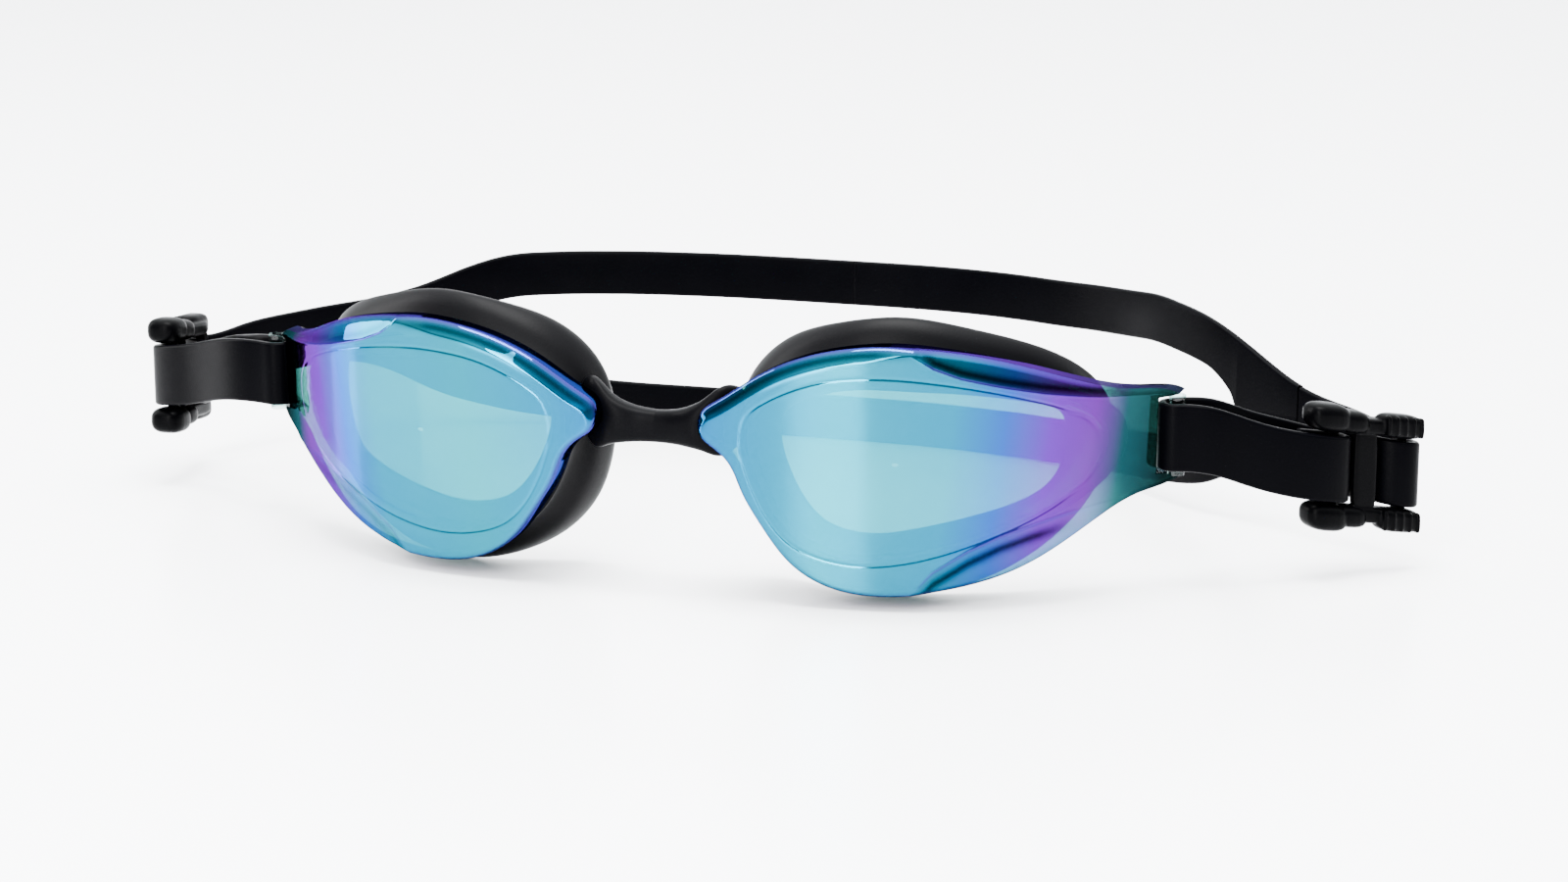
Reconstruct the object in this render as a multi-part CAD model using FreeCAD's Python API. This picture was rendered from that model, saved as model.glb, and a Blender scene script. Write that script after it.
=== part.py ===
import FreeCAD
import Part
import math
import os

V = FreeCAD.Vector

# Swim goggles, millimetres, +Z up, lenses facing -Y, resting on the ground z = 0.
# The right-hand pod (+X) is drawn and the left-hand pod is its mirror image.

# ---- driving dimensions -------------------------------------------------------
LENS_THICK = 2.2            # front wall of the lens
RIM_DEPTH = 6.0             # depth of the lens rim behind its front surface
LEAN = 0.05                 # backward lean of the lens face per mm of drop
LEAN_ZERO_Z = 38.0
FACET_DEPTH = 0.7           # depth of the leaf-shaped facets
POST_X, POST_Y = 86.6, 34.2     # strap post at the temple end
POST_R = 1.5
SLOT_Z0, SLOT_Z1 = 21.0, 34.6   # strap slot, lower and upper end
STRAP_T = 1.6               # strap thickness
SIDE_W = 12.0               # width of the side strap
BAND_W = 9.2                # width of each back band
CLEAR = 0.3                 # clearance of soft parts
STATION_STEP = 0.8          # spacing of the strap cross-sections
BACK_Y = 126.5              # rearmost line of the back bands
CENTRE_GAP = 0.5            # opening of the strap loop at the back
FLEX_GAP = 0.45             # opening between bridge and pods
HINGE_GAP = 1.0             # opening between yoke and back bands
EYE_X, EYE_Z = 44.0, 26.0   # middle of the eye cup

# Plan of the lens front surface: (x, y).
PLAN = [(4.0, 0.4), (10.0, 0.0), (20.0, -0.3), (30.0, 0.0), (40.0, 1.0), (48.0, 2.7), (58.0, 7.0),
        (68.0, 14.0), (76.0, 22.0), (82.0, 29.5), (90.0, 40.5)]

# Front outline of the lens: (x, z), clockwise from the nose corner.
OUTLINE = [(9.6, 33.0), (12.5, 35.5), (20.0, 40.4), (28.5, 44.3), (37.5, 46.3), (44.0, 46.7),
           (51.0, 46.0), (60.0, 44.0), (67.0, 41.6), (74.0, 38.7), (80.0, 36.8), (85.6, 36.2),
           (87.9, 34.8), (88.2, 28.0), (87.9, 21.0), (85.8, 19.2), (81.0, 17.9), (75.6, 14.8),
           (69.5, 10.2), (62.7, 6.2), (55.3, 3.9), (47.0, 2.8), (40.0, 2.6), (33.0, 3.7),
           (26.0, 7.6), (20.6, 14.4), (17.2, 20.2), (15.2, 24.6), (12.4, 27.3), (10.0, 29.2)]

# Seat of the eye cup on the lens: (x, z).
OVAL = [(17.0, 30.0), (18.3, 34.0), (21.0, 36.3), (25.0, 38.5), (30.5, 40.6), (37.0, 41.8),
        (44.0, 42.1), (51.3, 41.4), (60.0, 39.5), (67.0, 37.2), (72.4, 34.6), (75.6, 31.4),
        (76.4, 27.6), (75.4, 23.6), (72.6, 20.0), (68.0, 16.6), (60.6, 13.0), (51.2, 9.6),
        (44.5, 8.1), (38.0, 7.6), (32.0, 8.4), (26.1, 10.8), (21.1, 16.4), (18.2, 22.8)]

# Outer edge of the sealing lip: (x, z).
LIP = [(11.9, 25.0), (12.1, 31.0), (13.8, 36.4), (17.6, 41.6), (23.5, 45.8), (29.5, 48.0),
       (37.0, 49.6), (43.0, 50.0), (54.4, 47.9), (62.0, 45.4), (66.8, 43.0), (71.8, 38.8),
       (75.0, 32.6), (75.2, 25.0), (72.0, 16.2), (65.0, 8.2), (56.0, 3.0), (47.0, 0.6),
       (38.0, 0.3), (29.0, 2.2), (21.2, 6.2), (15.6, 12.4), (13.0, 18.6)]

UPPER_FACET = [(48.4, 44.9), (60.0, 44.6), (70.0, 41.6), (79.5, 38.6), (80.0, 36.2), (72.0, 36.9),
               (61.0, 39.7), (55.3, 41.4)]
LOWER_FACET = [(47.0, 3.6), (55.0, 3.2), (64.0, 6.4), (72.0, 12.4), (78.0, 17.2), (76.0, 17.6),
               (65.7, 14.6), (56.2, 10.6)]

# Buckles and strap runs in plan, one set per side with x counted outwards.
# front: centre of the front bar; axis: direction towards the rear bar in degrees from +X.
RIGHT = dict(front=(111.3, 49.6), axis=45.0, z_front=20.4, z_rear=17.8, lean=4.0,
             run_a=[(92.5, 33.2, 27.4), (98.8, 37.2, 24.8), (105.2, 41.5, 22.4)],
             run_b=[(91.2, 39.2, 27.6), (96.8, 44.2, 25.0), (102.8, 49.6, 22.4)],
             tail=[(-5.2, -2.7), (-2.6, -2.65)],
             wrap=[(16.9, 2.0), (17.8, 0.0), (17.6, -2.2)],
             run_c=[(116.0, 67.4, 19.6), (108.0, 71.2, 21.4), (100.0, 75.6, 23.6)],
             yoke=[(92.0, 80.8, 23.4, 10.3), (84.0, 86.0, 22.4, 15.4)],
             band=[(79.0, 89.6), (70.0, 97.6), (60.0, 108.0), (46.0, 117.6), (28.0, 124.0),
                   (12.0, 126.2)],
             top=[39.3, 40.4, 39.0, 38.0, 38.0, 38.0],
             low=[5.2, 3.6, 1.8, 0.4, 0.0, 0.0])
LEFT = dict(front=(117.6, 50.4), axis=85.0, z_front=21.8, z_rear=20.4, lean=-3.0,
            run_a=[(92.8, 33.0, 27.8), (101.5, 37.3, 26.4), (110.0, 42.2, 24.0)],
            run_b=[(91.2, 39.2, 27.6), (98.0, 44.6, 26.2), (105.6, 49.8, 24.2)],
            tail=[(-2.4, -2.6)],
            wrap=[(17.4, 1.9), (20.0, 0.2)],
            run_c=[(115.5, 77.0, 21.0), (110.0, 87.0, 21.8), (103.5, 96.0, 22.4)],
            yoke=[(96.0, 104.0, 21.4, 7.8), (88.0, 110.4, 19.6, 11.9)],
            band=[(83.0, 113.8), (74.0, 118.6), (62.0, 122.4), (46.0, 125.0), (28.0, 126.3),
                  (12.0, 126.6)],
            top=[34.0, 36.8, 37.4, 37.8, 38.0, 38.0],
            low=[5.6, 2.8, 1.0, 0.2, 0.0, 0.0])


# ---- helpers -------------------------------------------------------------------
def spline(points, closed=False):
    curve = Part.BSplineCurve()
    curve.interpolate(Points=points, PeriodicFlag=closed)
    return curve


PLAN_CURVE = spline([V(x, y, 0) for x, y in PLAN])
PLAN_DENSE = [PLAN_CURVE.value(i / 600.0 * PLAN_CURVE.LastParameter
                               + (1 - i / 600.0) * PLAN_CURVE.FirstParameter) for i in range(601)]


def face_y(x, z, depth):
    """Y of the lens front surface at (x, z), moved back by depth."""
    for a, b in zip(PLAN_DENSE, PLAN_DENSE[1:]):
        if a.x <= x <= b.x:
            y = a.y + (b.y - a.y) * (x - a.x) / (b.x - a.x)
            return y + depth + LEAN * (LEAN_ZERO_Z - z)
    raise ValueError("x outside the lens plan")


def solid_from(faces):
    shell = Part.makeShell(faces)
    shell.sewShape()
    solid = Part.makeSolid(shell)
    if solid.Volume < 0:
        solid.reverse()
    fixed = solid.copy()
    fixed.fix(1e-4, 1e-5, 1e-3)
    if not fixed.isValid() or len(fixed.Solids) != 1:
        raise ValueError("bad solid")
    return fixed.Solids[0]


def slab(front, back):
    """Curved plate between two depths behind the lens front surface."""
    low, high = -6.0, 60.0
    pts = [V(x, y, 0) for x, y in PLAN]
    start = LEAN * (LEAN_ZERO_Z - low)
    edge_a = spline([p + V(0, front + start, low) for p in pts]).toShape()
    edge_b = spline([p + V(0, back + start, low) for p in pts]).toShape()
    end_a = Part.makeLine(edge_a.Vertexes[0].Point, edge_b.Vertexes[0].Point)
    end_b = Part.makeLine(edge_a.Vertexes[-1].Point, edge_b.Vertexes[-1].Point)
    wire = Part.Wire([edge_a, end_b, edge_b, end_a])
    face = Part.Face(wire)
    rise = high - low
    return face.extrude(V(0, -LEAN * rise, rise))


def prism(points):
    """Closed smooth outline in XZ swept through the whole depth."""
    curve = spline([V(x, -30, z) for x, z in points], True)
    return Part.Face(Part.Wire([curve.toShape()])).extrude(V(0, 110, 0))


def leaf_prism(points):
    """Two smooth arcs meeting in two sharp tips, swept through the depth."""
    half = len(points) // 2
    upper = spline([V(x, -30, z) for x, z in points[:half + 1]]).toShape()
    lower = spline([V(x, -30, z) for x, z in points[half:] + points[:1]]).toShape()
    return Part.Face(Part.Wire([upper, lower])).extrude(V(0, 110, 0))


def polar(points, count=48):
    """Radius of a closed outline about the eye centre at evenly spaced angles."""
    curve = spline([V(x, 0, z) for x, z in points], True)
    dense = []
    for i in range(1200):
        t = curve.FirstParameter + (curve.LastParameter - curve.FirstParameter) * i / 1200.0
        p = curve.value(t)
        angle = math.atan2(p.z - EYE_Z, p.x - EYE_X) % (2 * math.pi)
        dense.append((angle, math.hypot(p.x - EYE_X, p.z - EYE_Z)))
    dense.sort()
    radii = []
    for k in range(count):
        target = 2 * math.pi * k / count
        radii.append(min(dense, key=lambda item: abs(item[0] - target))[1])
    return radii


def cup_depth(x, depth):
    """Depth of a cup ring behind the lens face; the cup is deeper towards the nose."""
    t = min(max((x - 14.0) / 24.0, 0.0), 1.0)
    deep = 2.0 - 0.85 * t * t * (3.0 - 2.0 * t)
    return RIM_DEPTH + (depth - RIM_DEPTH) * deep


def ring(radii, depth):
    points = []
    count = len(radii)
    for k, r in enumerate(radii):
        angle = 2 * math.pi * k / count
        x = EYE_X + r * math.cos(angle)
        z = EYE_Z + r * math.sin(angle)
        points.append(V(x, face_y(x, z, cup_depth(x, depth)), z))
    return spline(points, True).toShape()


def lathe_like(rings):
    """Closed tube of ruled faces running from ring to ring and back to the first."""
    faces = []
    for a, b in zip(rings, rings[1:] + rings[:1]):
        faces.append(Part.makeRuledSurface(a, b, 1))
    return solid_from(faces)


def ribbon(path, thick):
    """Strap following path [(x, y, z_mid, half_width)], as a loft of upright rectangles."""
    pts = [V(p[0], p[1], p[2]) for p in path]
    params = [0.0]
    for a, b in zip(pts, pts[1:]):
        params.append(params[-1] + a.distanceToPoint(b))
    curve = Part.BSplineCurve()
    curve.interpolate(Points=pts, Parameters=params)
    steps = max(8, int(params[-1] / STATION_STEP))
    wires = []
    for i in range(steps + 1):
        t = params[-1] * i / steps
        j = max(k for k in range(len(params)) if params[k] <= t + 1e-9)
        j = min(j, len(params) - 2)
        f = (t - params[j]) / (params[j + 1] - params[j])
        half = path[j][3] + (path[j + 1][3] - path[j][3]) * f
        c = curve.value(t)
        d = curve.tangent(t)[0]
        side = V(d.y, -d.x, 0)
        side.normalize()
        side = side * (thick / 2)
        up = V(0, 0, half)
        loop = [c + side + up, c - side + up, c - side - up, c + side - up]
        wires.append(Part.makePolygon(loop + [loop[0]]))
    return Part.makeLoft(wires, True, True).Solids[0]


def mirrored(shape):
    return shape.mirror(V(0, 0, 0), V(1, 0, 0))


# ---- lens and eye cup ------------------------------------------------------------
def make_lens():
    body = prism(OUTLINE).common(slab(0.0, RIM_DEPTH))
    seat = [r - 1.0 for r in polar(OVAL)]
    hollow = []
    for k, r in enumerate(seat):
        angle = 2 * math.pi * k / len(seat)
        hollow.append((EYE_X + r * math.cos(angle), EYE_Z + r * math.sin(angle)))
    body = body.cut(prism(hollow).common(slab(LENS_THICK, RIM_DEPTH + 5)))
    for leaf in (UPPER_FACET, LOWER_FACET):
        body = body.cut(leaf_prism(leaf).common(slab(-5.0, FACET_DEPTH)))
    height = SLOT_Z1 - SLOT_Z0
    window = Part.makeBox(4.4, 40, height, V(-4.4, -20, 0))
    window = window.fuse(Part.makeBox(30, 40, height, V(POST_R, -20, 0)))
    window.rotate(V(0, 0, 0), V(0, 0, 1), 50.0 - 14.0)
    window.translate(V(POST_X, POST_Y, SLOT_Z0))
    body = body.cut(window)
    ring_cut = Part.makeCylinder(30.0, height, V(POST_X, POST_Y, SLOT_Z0))
    ring_cut = ring_cut.cut(Part.makeCylinder(POST_R, height, V(POST_X, POST_Y, SLOT_Z0)))
    beyond = Part.makeBox(60, 90, height, V(82.0, 0, SLOT_Z0))
    body = body.cut(ring_cut.common(beyond))
    post = Part.makeCylinder(POST_R, height + 1.0, V(POST_X, POST_Y, SLOT_Z0 - 0.5))
    body = body.fuse(post).removeSplitter()
    if len(body.Solids) != 1:
        pieces = sorted(body.Solids, key=lambda s: s.Volume)
        print("lens pieces", [round(s.Volume, 2) for s in pieces])
        body = pieces[-1]
    return body.Solids[0]


def make_gasket():
    oval = polar(OVAL)
    lip = polar(LIP)
    neck = [0.55 * a + 0.45 * b for a, b in zip(oval, lip)]
    rings = [ring([r + 1.6 for r in oval], RIM_DEPTH + 0.05),
             ring([r + 0.6 for r in neck], RIM_DEPTH + 1.8),
             ring([r - 0.4 for r in lip], RIM_DEPTH + 4.2),
             ring(lip, RIM_DEPTH + 5.6),
             ring([r - 1.4 for r in lip], RIM_DEPTH + 6.8),
             ring([r - 7.0 for r in lip], RIM_DEPTH + 5.4),
             ring([r - 4.6 for r in oval], RIM_DEPTH + 2.6),
             ring([r - 0.9 for r in oval], RIM_DEPTH + 0.05)]
    return lathe_like(rings)


# ---- nose bridge -------------------------------------------------------------------
def make_bridge():
    """Soft saddle between the lens corners: (x, y centre, z low, z high, depth)."""
    half = [(0.0, 7.2, 26.3, 32.0, 4.4), (3.5, 7.0, 26.2, 32.4, 4.6), (6.5, 6.6, 25.9, 33.4, 5.0),
            (8.9, 6.4, 25.4, 34.6, 5.4)]
    stations = [(-x, y, a, b, d) for x, y, a, b, d in half[:0:-1]] + half
    loops = []
    for x, y, a, b, d in stations:
        mid, ry, rz = (a + b) / 2, d / 2, (b - a) / 2
        points = []
        for k in range(24):
            t = 2 * math.pi * k / 24
            cy = math.copysign(abs(math.cos(t)) ** 0.7, math.cos(t))
            sz = math.copysign(abs(math.sin(t)) ** 0.7, math.sin(t))
            points.append(V(x, y + ry * cy, mid + rz * sz))
        loops.append(Part.Wire([spline(points, True).toShape()]))
    return Part.makeLoft(loops, True, False)


# ---- strap ---------------------------------------------------------------------------
def buckle_axes(side):
    angle = math.radians(side["axis"])
    u = V(math.cos(angle), math.sin(angle), 0)
    n = V(math.sin(angle), -math.cos(angle), 0)
    return u, n


def local(side, s, m):
    """Point s along the buckle axis from the front bar and m outwards, with its height."""
    u, n = buckle_axes(side)
    x = side["front"][0] + u.x * s + n.x * m
    y = side["front"][1] + u.y * s + n.y * m
    z = side["z_front"] + (side["z_rear"] - side["z_front"]) * s / 15.0
    return (x, y, z)


def side_path(side):
    """Centre line of the side strap, from its tail end to the split of the back bands."""
    half = SIDE_W / 2
    wrap = POST_R + CLEAR + STRAP_T / 2
    path = []
    for s, m in side["tail"] + [(0.0, -2.6), (1.8, -1.9), (2.6, 0.0), (1.8, 1.9), (0.0, 2.6)]:
        path.append(local(side, s, m))
    for p in reversed(side["run_a"]):
        path.append(p)
    z_post = (SLOT_Z0 + SLOT_Z1) / 2
    for degrees in (-60.0, -90.0, -120.0, -150.0, 180.0, 150.0, 120.0):
        a = math.radians(degrees)
        path.append((POST_X + wrap * math.cos(a), POST_Y + wrap * math.sin(a), z_post))
    for p in side["run_b"]:
        path.append(p)
    passage = [(3.0, -5.0), (7.2, -4.0), (10.4, -1.2), (12.3, 1.5), (14.8, 2.7)]
    for s, m in passage + side["wrap"]:
        path.append(local(side, s, m))
    for p in side["run_c"]:
        path.append(p)
    return [(x, y, z, half) for x, y, z in path] + list(side["yoke"])


def make_side_strap(side):
    strap = ribbon(side_path(side), STRAP_T)
    x, y, z, half = side["yoke"][-1]
    px, py = side["yoke"][-2][0:2]
    d = V(x - px, y - py, 0)
    d.normalize()
    across = V(-d.y, d.x, 0)
    crotch = half - BAND_W - 0.6
    notch = Part.makeCylinder(crotch, 12, V(x, y, z) - across * 6, across)
    return strap.cut(notch)


def make_band(side, upper):
    """Half of one back band, from the split to the middle of the back."""
    x, y, z, half = side["yoke"][-1]
    d = V(side["band"][0][0] - x, side["band"][0][1] - y, 0)
    d.normalize()
    start = V(x, y, 0) + d * HINGE_GAP
    if upper:
        z0 = z + half - BAND_W / 2
        mids = [z_top - BAND_W / 2 for z_top in side["top"]]
    else:
        z0 = z - half + BAND_W / 2
        mids = [z_low + BAND_W / 2 for z_low in side["low"]]
    path = [(start.x, start.y, z0, BAND_W / 2)]
    for (bx, by), mid in zip(side["band"], mids):
        path.append((bx, by, mid, BAND_W / 2))
    path.append((CENTRE_GAP / 2, BACK_Y, mids[-1], BAND_W / 2))
    return ribbon(path, STRAP_T)


# ---- buckle -----------------------------------------------------------------------------
def bar(s, m, long, deep, height):
    """Upright bar with rounded edges."""
    box = Part.makeBox(long, deep, height, V(s - long / 2, m - deep / 2, -height / 2))
    upright = [e for e in box.Edges if abs(e.Vertexes[0].Z - e.Vertexes[-1].Z) > 1]
    return box.makeFillet(min(long, deep) * 0.4, upright)


def pillow(s, m, z, size):
    ball = Part.makeSphere(1.0)
    grow = FreeCAD.Matrix()
    grow.scale(size[0], size[1], size[2])
    shape = ball.transformGeometry(grow)
    shape.translate(V(s, m, z))
    return shape


def make_buckle(side):
    """Three-bar buckle; x runs to the rear bar, y points inwards, z up."""
    gap = SIDE_W / 2 + 2 * CLEAR
    body = bar(0.0, 0.0, 2.4, 2.2, 2 * gap + 1)
    body = body.fuse(bar(6.4, -1.4, 3.4, 1.6, 2 * gap + 1))
    body = body.fuse(bar(15.0, 0.0, 2.2, 2.2, 2 * gap + 1))
    for sign in (1, -1):
        rail = Part.makeBox(17.4, 3.0, 2.4, V(-1.2, -1.8, gap if sign > 0 else -gap - 2.4))
        body = body.fuse(rail)
        knob = pillow(-0.6, -0.2, sign * (gap + 1.9), (5.2, 3.6, 3.2))
        keep = Part.makeBox(20, 20, 6, V(-10, -10, gap if sign > 0 else -gap - 6))
        body = body.fuse(knob.common(keep))
        wing = pillow(13.4, -1.6, sign * (gap + 1.0), (5.0, 2.6, 3.4))
        wing = wing.common(keep.copy().translated(V(13.4, 0, 0)))
        for k in range(5):
            groove = Part.makeCylinder(0.35, 12, V(9.6 + 1.9 * k, -4.25, -6))
            groove.rotate(V(9.6 + 1.9 * k, -4.25, 0), V(0, 1, 0), 25.0)
            groove.translate(V(0, 0, sign * (gap + 1.4)))
            wing = wing.cut(groove)
        body = body.fuse(wing)
    body = body.removeSplitter()
    shear = FreeCAD.Matrix()
    shear.A31 = (side["z_rear"] - side["z_front"]) / 15.0
    body = body.transformGeometry(shear)
    body.rotate(V(0, 0, 0), V(0, 0, 1), side["axis"])
    body.translate(V(side["front"][0], side["front"][1], side["z_front"]))
    return body.Solids[0]


# ---- assembly ------------------------------------------------------------------------------
def build():
    lens = make_lens()
    gasket = make_gasket()
    nodes = {"nose_bridge": make_bridge(),
             "right_lens": lens,
             "left_lens": mirrored(lens),
             "right_gasket": gasket,
             "left_gasket": mirrored(gasket)}
    for name, side in (("right", RIGHT), ("left", LEFT)):
        pieces = {"side_strap": make_side_strap(side),
                  "upper_band": make_band(side, True),
                  "lower_band": make_band(side, False),
                  "buckle": make_buckle(side)}
        for piece, shape in pieces.items():
            nodes[name + "_" + piece] = shape if name == "right" else mirrored(shape)
    return nodes


def centred(nodes):
    """Move everything so the bounding box is centred on the origin and stands on z = 0."""
    whole = Part.makeCompound(list(nodes.values())).optimalBoundingBox(False, False)
    shift = V(-(whole.XMin + whole.XMax) / 2, -(whole.YMin + whole.YMax) / 2, -whole.ZMin)
    print("shift", [round(v, 4) for v in shift])
    for shape in nodes.values():
        shape.translate(shift)
    return nodes


os.makedirs("parts", exist_ok=True)
for node, shape in sorted(centred(build()).items()):
    box = shape.BoundBox
    print(node, shape.isValid(), len(shape.Solids), round(shape.Volume, 1),
          [round(v, 2) for v in (box.XMin, box.XMax, box.YMin, box.YMax, box.ZMin, box.ZMax)])
    shape.exportStep("parts/" + node + ".step")
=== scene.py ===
import math
import bpy
import bmesh
import numpy as np
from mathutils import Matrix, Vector


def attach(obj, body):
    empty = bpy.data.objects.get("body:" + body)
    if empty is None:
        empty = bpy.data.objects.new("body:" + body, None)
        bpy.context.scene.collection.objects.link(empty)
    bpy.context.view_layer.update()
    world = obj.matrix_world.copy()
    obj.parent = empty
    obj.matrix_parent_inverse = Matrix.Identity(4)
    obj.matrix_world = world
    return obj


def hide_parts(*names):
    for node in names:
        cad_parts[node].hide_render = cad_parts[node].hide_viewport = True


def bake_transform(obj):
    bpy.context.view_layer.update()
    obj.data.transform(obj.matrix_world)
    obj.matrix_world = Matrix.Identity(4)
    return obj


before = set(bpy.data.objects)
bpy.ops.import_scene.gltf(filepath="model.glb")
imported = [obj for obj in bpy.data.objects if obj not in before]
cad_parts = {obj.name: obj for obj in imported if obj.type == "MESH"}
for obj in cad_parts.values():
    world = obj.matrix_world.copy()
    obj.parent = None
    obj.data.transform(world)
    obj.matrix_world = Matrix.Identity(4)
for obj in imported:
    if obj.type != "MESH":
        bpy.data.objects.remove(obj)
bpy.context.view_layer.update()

# Every size below is in millimetres in the drawing frame of the CAD source, which is then moved by
# SHIFT and scaled to metres. The right-hand pod (+X) is drawn and the left-hand one mirrored.
SHIFT = np.array([-1.4516, -63.4608, 0.0126])
MM = 0.001

LENS_THICK = 2.2
RIM_DEPTH = 6.0
LEAN = 0.05
LEAN_ZERO_Z = 38.0
POST_X, POST_Y, POST_R = 86.6, 34.2, 1.5
SLOT_Z0, SLOT_Z1 = 21.0, 34.6
STRAP_T = 1.6
SIDE_W = 12.0
BAND_W = 9.2
BACK_Y = 126.5
CLEAR = 0.3
EYE_X, EYE_Z = 44.0, 26.0
BAR_SPACING = 15.0              # front bar to rear bar of a buckle
YOKE_LENGTH = 21.0              # strap length kept with the bands, before the split
SLOT_TURN = math.radians(36.0)  # plan angle of the strap slot
SLOT_WALL = -3.55               # inner wall of the slot, from the post
SLIT_LEAD = 5.0                 # how far before the split the slit between the bands starts
SLIT_REACH = 8.0                # strap length over which the slit opens

PLAN = [(4.0, 0.4), (10.0, 0.0), (20.0, -0.3), (30.0, 0.0), (40.0, 1.0), (48.0, 2.7), (58.0, 7.0),
        (68.0, 14.0), (76.0, 22.0), (82.0, 29.5), (90.0, 40.5)]
OUTLINE = [(9.6, 33.0), (12.5, 35.5), (20.0, 40.4), (28.5, 44.3), (37.5, 46.3), (44.0, 46.7),
           (51.0, 46.0), (60.0, 44.0), (67.0, 41.6), (74.0, 38.7), (80.0, 36.8), (83.8, 36.1),
           (86.2, 34.9), (88.0, 31.0), (88.2, 26.0), (87.9, 21.0), (85.8, 19.2), (81.0, 17.9), (75.6, 14.8),
           (69.5, 10.2), (62.7, 6.2), (55.3, 3.9), (47.0, 2.8), (40.0, 2.6), (33.0, 3.7),
           (26.0, 7.6), (20.6, 14.4), (17.2, 20.2), (15.2, 24.6), (12.4, 27.3), (10.0, 29.2)]
OVAL = [(17.0, 30.0), (18.3, 34.0), (21.0, 36.3), (25.0, 38.5), (30.5, 40.6), (37.0, 41.8),
        (44.0, 42.1), (51.3, 41.4), (60.0, 39.5), (67.0, 37.2), (72.4, 34.6), (75.6, 31.4),
        (76.4, 27.6), (75.4, 23.6), (72.6, 20.0), (68.0, 16.6), (60.6, 13.0), (51.2, 9.6),
        (44.5, 8.1), (38.0, 7.6), (32.0, 8.4), (26.1, 10.8), (21.1, 16.4), (18.2, 22.8)]
LIP = [(11.9, 25.0), (12.1, 31.0), (13.8, 36.4), (17.6, 41.6), (23.5, 45.8), (29.5, 48.0),
       (37.0, 49.6), (43.0, 50.0), (54.4, 47.9), (62.0, 45.4), (66.8, 43.0), (71.8, 38.8),
       (75.0, 32.6), (75.2, 25.0), (72.0, 16.2), (65.0, 8.2), (56.0, 3.0), (47.0, 0.6),
       (38.0, 0.3), (29.0, 2.2), (21.2, 6.2), (15.6, 12.4), (13.0, 18.6)]
# Inner edges of the two leaf-shaped facets: (x, z).
UPPER_LEAF = [(48.0, 45.2), (51.0, 43.2), (55.3, 41.4), (61.0, 39.8), (68.0, 38.0), (75.4, 36.4),
              (82.0, 35.6)]
LOWER_LEAF = [(46.4, 2.4), (50.5, 7.2), (56.2, 10.9), (61.0, 13.2), (65.7, 14.8), (71.0, 16.3),
              (77.0, 17.2)]

# leaf_painted_dark_reflection sets how strongly painted dark reflections darken the coating in the leaf
# cores
RIGHT = dict(name="right", sign=1, leaf_painted_dark_reflection=0.9, front=(111.3, 49.6), axis=45.0, z_front=20.4, z_rear=17.8,
             run_a=[(92.5, 33.2, 27.4), (98.8, 37.2, 24.8), (105.2, 41.5, 22.4)],
             run_b=[(91.2, 39.2, 27.6), (96.8, 44.2, 25.0), (102.8, 49.6, 22.4)],
             tail=[(-5.2, -2.7), (-2.6, -2.65)],
             wrap=[(16.9, 2.0), (17.8, 0.0), (17.6, -2.2)],
             run_c=[(116.0, 67.4, 19.6), (108.0, 71.2, 21.4), (100.0, 75.6, 23.6)],
             yoke=[(92.0, 80.8, 23.4, 10.3), (84.0, 86.0, 22.4, 15.4)],
             band=[(79.0, 89.6), (70.0, 97.6), (60.0, 108.0), (46.0, 117.6), (28.0, 124.0),
                   (12.0, 126.2)],
             top=[39.3, 40.4, 39.0, 38.0, 38.0, 38.0],
             low=[5.2, 3.6, 1.8, 0.4, 0.0, 0.0])
LEFT = dict(name="left", sign=-1, leaf_painted_dark_reflection=0.35, front=(117.6, 50.4), axis=85.0, z_front=21.8, z_rear=20.4,
            run_a=[(92.8, 33.0, 27.8), (101.5, 37.3, 26.4), (110.0, 42.2, 24.0)],
            run_b=[(91.2, 39.2, 27.6), (98.0, 44.6, 26.2), (105.6, 49.8, 24.2)],
            tail=[(-2.4, -2.6)],
            wrap=[(17.4, 1.9), (20.0, 0.2)],
            run_c=[(115.5, 77.0, 21.0), (110.0, 87.0, 21.8), (103.5, 96.0, 22.4)],
            yoke=[(96.0, 104.0, 21.4, 7.8), (88.0, 110.4, 19.6, 11.9)],
            band=[(83.0, 113.8), (74.0, 118.6), (62.0, 122.4), (46.0, 125.0), (28.0, 126.3),
                  (12.0, 126.6)],
            top=[34.0, 36.8, 37.4, 37.8, 38.0, 38.0],
            low=[5.6, 2.8, 1.0, 0.2, 0.0, 0.0])


# ---- curves -------------------------------------------------------------------------
def cubic(knots, values, at, closed=False):
    """Cubic spline through values at knots, natural or periodic, read at the given places."""
    knots = np.asarray(knots, float)
    values = np.asarray(values, float)
    h = np.diff(knots)
    n = len(knots)
    matrix = np.zeros((n, n))
    right = np.zeros((n,) + values.shape[1:])
    slope = (values[1:] - values[:-1]) / h.reshape((-1,) + (1,) * (values.ndim - 1))
    for i in range(1, n - 1):
        matrix[i, i - 1:i + 2] = h[i - 1], 2 * (h[i - 1] + h[i]), h[i]
        right[i] = 6 * (slope[i] - slope[i - 1])
    if closed:
        matrix[0, 0], matrix[0, -1] = 1, -1
        matrix[-1, 0], matrix[-1, 1] = 2 * h[0], h[0]
        matrix[-1, -2], matrix[-1, -1] = h[-1], 2 * h[-1]
        right[-1] = 6 * (slope[0] - slope[-1])
    else:
        matrix[0, 0] = matrix[-1, -1] = 1
    curve = np.linalg.solve(matrix, right)
    i = np.clip(np.searchsorted(knots, at, side="right") - 1, 0, n - 2)
    shape = (-1,) + (1,) * (values.ndim - 1)
    t = (at - knots[i]).reshape(shape)
    hi = h[i].reshape(shape)
    return (values[i] + t * (slope[i] - hi * (2 * curve[i] + curve[i + 1]) / 6)
            + t ** 2 * curve[i] / 2 + t ** 3 * (curve[i + 1] - curve[i]) / (6 * hi))


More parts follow.
